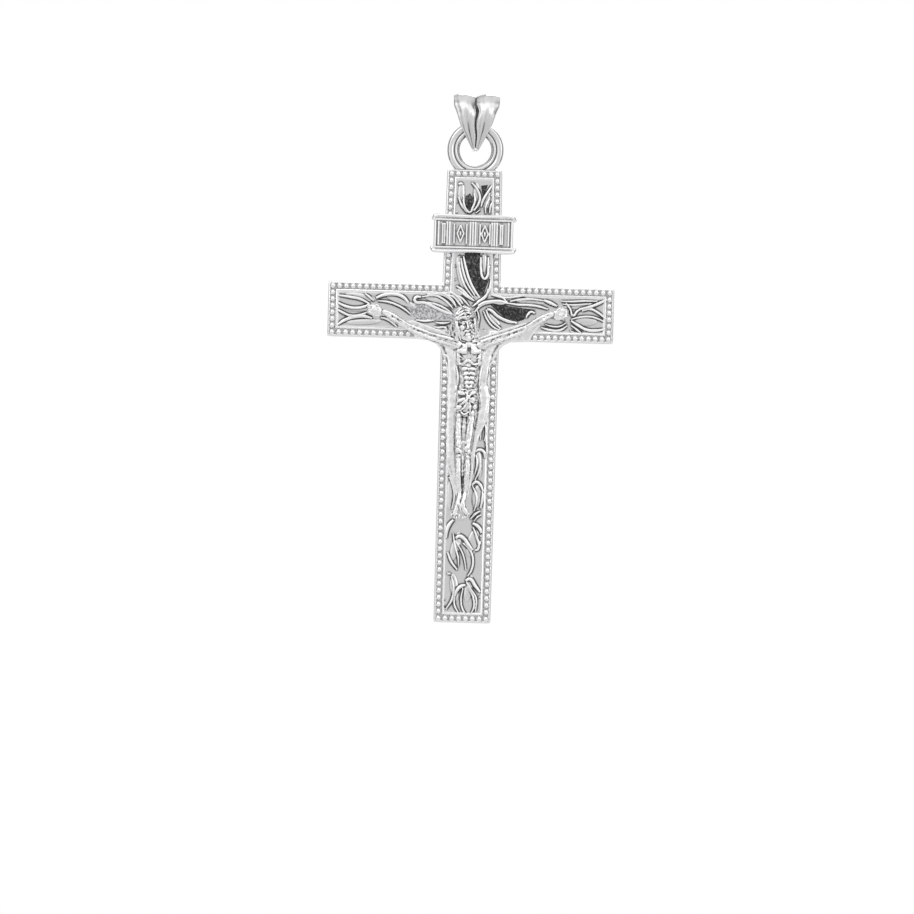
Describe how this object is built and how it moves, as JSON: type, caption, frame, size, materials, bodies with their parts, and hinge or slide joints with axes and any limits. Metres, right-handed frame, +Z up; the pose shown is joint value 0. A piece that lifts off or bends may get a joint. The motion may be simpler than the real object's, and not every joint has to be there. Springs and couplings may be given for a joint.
{
  "type": "crucifix pendant",
  "caption": "Cast metal crucifix pendant: a cross with a beaded edge, a pinned figure, a title plate and an eye ring, hung from a fluted tapering bail that swings on the ring.",
  "frame": {"origin": "centre of the chain's way through the bail", "axes": "+Z up towards the bail, -Y out of the front with the figure, +X to the right as seen from the front"},
  "size_m": [0.03, 0.005, 0.0555],
  "materials": {
    "polished_metal": "polished white metal",
    "satin_metal": "satin white metal"
  },
  "bodies": {
    "bail": {"bail": "polished_metal"},
    "cross": {"cross_plate": "polished_metal", "eye_ring": "polished_metal", "frame_wire": "polished_metal", "corpus": "polished_metal", "beaded_wire_top": "polished_metal", "beaded_wire_upper_right": "polished_metal", "beaded_wire_bar_right_top": "polished_metal", "beaded_wire_bar_right_end": "polished_metal", "beaded_wire_bar_right_bottom": "polished_metal", "beaded_wire_lower_right": "polished_metal", "beaded_wire_foot": "polished_metal", "beaded_wire_lower_left": "polished_metal", "beaded_wire_bar_left_bottom": "polished_metal", "beaded_wire_bar_left_end": "polished_metal", "beaded_wire_bar_left_top": "polished_metal", "beaded_wire_upper_left": "polished_metal", "grain_panel_head": "satin_metal", "grain_panel_shaft": "satin_metal", "grain_panel_left_arm": "satin_metal", "grain_panel_right_arm": "satin_metal", "title_plate": "satin_metal", "title_rim_top": "polished_metal", "title_rim_bottom": "polished_metal", "title_reed_1": "polished_metal", "title_reed_2": "polished_metal", "title_reed_3": "polished_metal", "title_reed_4": "polished_metal", "nail_left_hand": "polished_metal", "nail_right_hand": "polished_metal", "nail_feet": "polished_metal"}
  },
  "joints": [
    {"name": "bail_swing", "type": "hinge", "parent": "bail", "child": "cross", "pos_m": [0, 0, -0.00155], "axis": [1, 0, 0], "range_deg": [-30, 30]}
  ]
}
